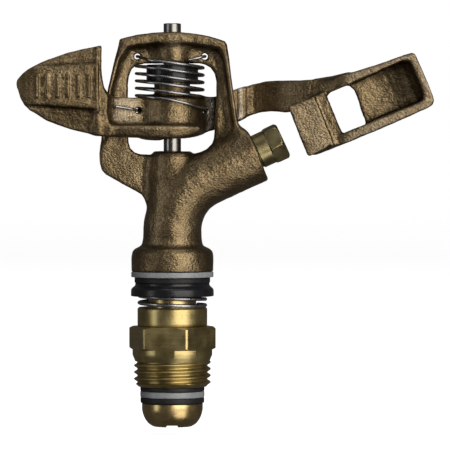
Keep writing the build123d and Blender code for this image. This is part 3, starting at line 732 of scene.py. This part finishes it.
cover = turned("spring_cover_moulded", [
    (6.7, 26.9), (9.85, 26.9), (9.85, 24.62), (11.3, 24.62, 0.3), (11.25, 26.6, 0.5), (10.15, 27.5, 0.5),
    (10.1, 28.19), (6.7, 28.19)], 0.15)
dress(sharp_by_angle(cover), plastic, "black_plastic", "carrier", "spring_cover")

cap = turned("arm_cap_moulded", [
    (5.3, 82.6), (7.05, 82.6, 0.3), (7.05, 87.56, 0.3), (2.42, 87.56), (2.42, 86.4), (5.3, 86.4)], 0.12)
dress(sharp_by_angle(cap), plastic, "black_plastic", "head", "arm_cap")

pin = turned("fulcrum_pin_turned", [
    (0.001, 60.1), (2.37, 60.1, 0.3), (2.37, 98.8, 0.35), (0.001, 98.8, 0.001)], 0.1)
dress(sharp_by_angle(pin), steel, "steel", "head", "fulcrum_pin")

# ---------------------------------------------------------------- nozzle

NOZZLE_LENGTH, NOZZLE_COLLAR_R, ORIFICE_R = 7.7, 4.72, 2.2
NOZZLE_HEX_HALF, NOZZLE_HEX_CORNER_R, NOZZLE_HEX_TURN = 4.7, 5.38, radians(21)
nozzle_frame = Matrix((
    (JET_Z, 0, JET_X, BARREL_END[0]), (0, 1, 0, 0), (-JET_X, 0, JET_Z, BARREL_END[1] + 0.12), (0, 0, 0, 1)))


def nozzle_mesh():
    heights = [-7.0, -0.02, 0.0, 0.1, 0.25, 1.2, 2.4, 3.3, 3.42, 3.55, 3.7, 4.5, 5.5, 6.4, 7.0, 7.2]
    heights += [7.35, 7.47, 7.59, 7.68, NOZZLE_LENGTH]
    angles = np.linspace(0, 2 * pi, 240, endpoint=False)

    def reach(a, z):
        if z < -0.01:
            return 4.4
        if z < 3.5:
            return min(NOZZLE_COLLAR_R, 4.45 + z * 1.2, 4.45 + (3.75 - z) * 1.1)
        flat = NOZZLE_HEX_HALF / cos((a + NOZZLE_HEX_TURN) % (pi / 3) - pi / 6)
        return min(flat, NOZZLE_HEX_CORNER_R, 4.55 + (z - 3.4) * 2.2, 4.35 + (NOZZLE_LENGTH - z) * 1.5)

    rings = [[(reach(a, z), a, z) for a in angles] for z in heights]
    for r, z in ((2.6, NOZZLE_LENGTH), (2.25, 7.55), (ORIFICE_R, 7.2), (ORIFICE_R, 4.2), (3.5, -7.0)):
        rings.append([(r, a, z) for a in angles])
    rings = [[nozzle_frame @ Vector((r * cos(a), r * sin(a), z)) * MM for r, a, z in ring] for ring in rings]
    return new_object("nozzle_turned", grid_mesh("nozzle_turned", rings, closed=True))


dress(sharp_by_angle(nozzle_mesh()), brass_nozzle, "turned_brass", "head", "nozzle")

# ---------------------------------------------------------------- springs


def round_axis(angle, z, r, lean=0.0, shift=0.0):
    a = radians(angle)
    return (r * cos(a) + shift, r * sin(a), z - lean * r * cos(a))


def on_plate(along, across, z):
    return (along * cos(TURN) - across * sin(TURN), along * sin(TURN) + across * cos(TURN), z)


LEAN = 0.08
SHIFT = -0.7
COIL_R = 9.15
ARM_WIRE_R, PRESS_WIRE_R = 0.4, 0.5
COIL_FROM, COIL_TO = -100, -1900
# the lower tail, through the plate's left hole, behind the hub and out of the right hole
arm_wire = [
    on_plate(-17.2, -2.6, 76.2), on_plate(-14.0, -2.4, 75.7), on_plate(-11.6, -1.9, 75.3),
    on_plate(-10.5, -0.9, PLATE_HOOK_Z), on_plate(PLATE_HOOKS[0], 0.9, PLATE_HOOK_Z)]
arm_wire += [round_axis(a, PLATE_HOOK_Z, 8.75) for a in (165, 140, 115, 90, 65, 42)]
arm_wire += [
    on_plate(PLATE_HOOKS[1], 1.0, PLATE_HOOK_Z), on_plate(9.0, -0.9, 75.2), round_axis(-8, 75.35, 9.5),
    round_axis(-35, 76.0, 9.2, 0, -0.2), round_axis(-70, 77.3, 9.15, 0, -0.5)]
# the coil
for a in range(COIL_FROM, COIL_TO, -20):
    share = (a - COIL_FROM) / (COIL_TO - COIL_FROM)
    arm_wire.append(round_axis(a, 78.05 + 9.95 * share, COIL_R, LEAN, SHIFT))
# the upper tail, through the yoke's left hole, behind its boss and out of the right hole
arm_wire += [round_axis(-1925, 88.2, 9.2, LEAN, SHIFT), round_axis(-1950, 88.7, 9.2, LEAN)]
arm_wire += [(x, y, YOKE_HOOK_Z) for x, y in (
    (-9.45, -1.2), (-9.45, 1.4), (-7.6, 4.9), (-4, 6.9), (0, 7.5), (4, 6.9), (7.2, 4.9), (8.75, 1.4),
    (8.75, -1.5))]
arm_wire += [(8.1, -2.6, 89.65), (6.4, -3.2, 89.2), (4.4, -4.3, 88.75)]
spring = wire("arm_spring_wire", arm_wire, ARM_WIRE_R, per=5)
dress(spring, spring_steel, "steel", None, "arm_spring")
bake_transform(spring)

press = []
for k in range(63):
    rise = min(1.0, max(0.0, (k - 6) / 50))
    press.append(round_axis(-15.0 * k + 40, 22.15 + 3.95 * rise, 9.0))
press_spring = wire("pressure_spring_wire", press, PRESS_WIRE_R, per=4)
dress(press_spring, press_steel, "steel", None, "pressure_spring")
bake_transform(press_spring)

# ---------------------------------------------------------------- stage, lights and camera


def stage_material(name, colour, rough):
    n = Nodes(name)
    tone = n.ramp(n.noise(14, 2, 0.5), [(0.3, tuple(0.985 * v for v in colour)), (0.7, colour)])
    return n.finish(tone, rough, 0.0, Emission_Color=(1, 1, 1, 1), Emission_Strength=0.86)


def room_stage():
    """A round floor and wall. Only the camera sees it, so that metal keeps its dark edges."""
    floor, radius, bend = -0.0135, 2.4, 0.7
    profile = [(0.0001, floor), (1.0, floor), (radius - bend, floor)]
    for t in np.linspace(0, pi / 2, 12)[1:]:
        profile.append((radius - bend + bend * sin(t), floor + bend - bend * cos(t)))
    profile.append((radius, floor + 2.6))
    angles = np.linspace(0, 2 * pi, 96, endpoint=False)
    rings = [[(r * cos(a), r * sin(a), z) for a in angles] for r, z in profile]
    mesh = grid_mesh("studio_room", rings)
    for face in mesh.polygons:
        face.use_smooth = True
    room = bpy.data.objects.new("studio_room", mesh)
    bpy.context.scene.collection.objects.link(room)
    room.data.materials.append(stage_material("studio_white", (0.90, 0.90, 0.90), 0.9))
    room.visible_glossy = False
    room.visible_diffuse = False
    room.visible_shadow = False


room_stage()


def area(name, azimuth, elevation, distance, width, height, watts, colour=(1, 1, 1), aim=(0.01, 0, 0.045)):
    """A soft box. Azimuth 0 is on the camera's side and grows to the right."""
    light = bpy.data.lights.new(name, "AREA")
    light.shape, light.size, light.size_y = "RECTANGLE", width, height
    light.energy, light.color = watts, colour
    lamp = bpy.data.objects.new(name, light)
    a, e = radians(azimuth), radians(elevation)
    way = Vector((sin(a) * cos(e), -cos(a) * cos(e), sin(e)))
    lamp.location = Vector(aim) + way * distance
    lamp.rotation_euler = way.to_track_quat("Z", "Y").to_euler()
    bpy.context.scene.collection.objects.link(lamp)


area("key", 30, 15, 0.75, 0.75, 0.70, 6.9, (1.0, 0.96, 0.90))
area("low", 34, -32, 0.75, 0.5, 0.35, 1.5, (1.0, 0.97, 0.92))
area("left", -62, 8, 0.9, 0.24, 0.8, 1.35, (0.95, 0.98, 1.0))
area("top", 10, 78, 1.1, 0.8, 0.8, 3.5)

world = bpy.data.worlds.new("studio")
world.use_nodes = True
background = world.node_tree.nodes["Background"]
background.inputs["Color"].default_value = (0.90, 0.86, 0.86, 1)
background.inputs["Strength"].default_value = 0.10
bpy.context.scene.world = world

SENSOR, VIEW_WIDTH = 36.0, 0.1225  # millimetres, and metres across the frame at a metre's distance
camera = bpy.data.cameras.new("camera")
camera.sensor_width = SENSOR
camera.lens = SENSOR / VIEW_WIDTH
viewer = bpy.data.objects.new("camera", camera)
target = Vector((0.01434, 0, 0.04396))
viewer.location = (0.01434, -1.0, 0.065)
viewer.rotation_euler = (target - viewer.location).to_track_quat("-Z", "Y").to_euler()
bpy.context.scene.collection.objects.link(viewer)
bpy.context.scene.camera = viewer
bpy.context.scene.view_settings.view_transform = "Standard"
